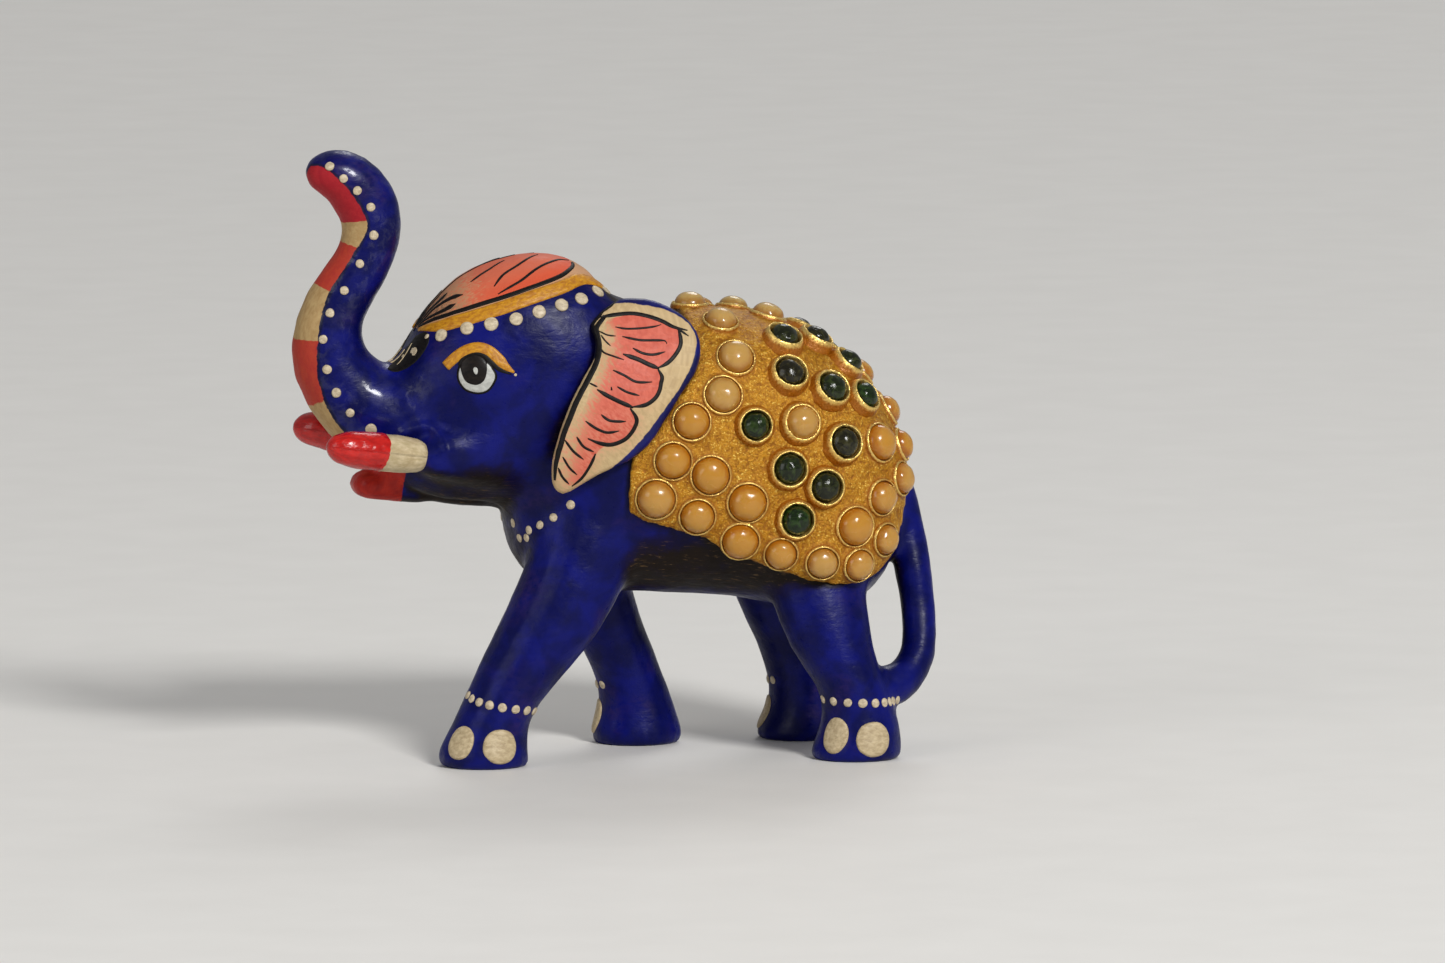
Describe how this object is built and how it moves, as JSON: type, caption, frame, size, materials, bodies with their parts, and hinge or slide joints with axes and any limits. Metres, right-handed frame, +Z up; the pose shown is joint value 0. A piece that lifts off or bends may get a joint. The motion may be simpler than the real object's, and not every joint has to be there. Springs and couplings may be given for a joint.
{
  "type": "carved wooden elephant figurine",
  "caption": "Walking painted wooden elephant with raised trunk, tusks, flap ears and a gilded stone-set saddle; stands on its own four feet.",
  "frame": {"origin": "middle of the figure's footprint, on the surface it stands on", "axes": "+Z up; -X is the way the elephant faces; its left side is on -Y"},
  "size_m": [0.106, 0.0446, 0.1],
  "materials": {
    "painted_wood": "carved softwood brushed with deep ultramarine enamel, glossy, dark wash in the hollows",
    "ear_paint": "painted cream with pink petals, black outlines and a blue rim",
    "tusk_paint": "glossy paint, scarlet at the tip and ivory at the root",
    "gilded_relief": "grainy raised gesso brushed with gold paint, amber in the hollows",
    "cream_stone": "polished translucent cream cabochon",
    "green_stone": "polished very dark green cabochon",
    "gilt_collar": "raised gesso wall with a bright gilt rim",
    "white_paint": "glossy ivory paint: dots, toenails, trunk bands",
    "red_paint": "glossy red paint: trunk bands and lower lip",
    "pink_paint": "coral pink paint with brush streaks",
    "yellow_paint": "ochre yellow paint: brow and head band",
    "black_paint": "glossy black paint: pupil and fine outlines"
  },
  "bodies": {
    "root": {"body": "painted_wood", "ear_left": "ear_paint", "ear_right": "ear_paint", "tusk_left": "tusk_paint", "tusk_right": "tusk_paint", "saddle": "gilded_relief", "pearls_front_left": "cream_stone", "pearls_front_right": "cream_stone", "pearls_hem_left": "cream_stone", "pearls_hem_right": "cream_stone", "pearls_flank_left": "cream_stone", "pearls_flank_right": "cream_stone", "pearls_rump_left": "cream_stone", "pearls_rump_right": "cream_stone", "pearls_ridge": "cream_stone", "greens_left": "green_stone", "greens_right": "green_stone", "collars_front_left": "gilt_collar", "collars_front_right": "gilt_collar", "collars_hem_left": "gilt_collar", "collars_hem_right": "gilt_collar", "collars_flank_left": "gilt_collar", "collars_flank_right": "gilt_collar", "collars_rump_left": "gilt_collar", "collars_rump_right": "gilt_collar", "collars_ridge": "gilt_collar", "collars_green_left": "gilt_collar", "collars_green_right": "gilt_collar"}
  },
  "joints": []
}
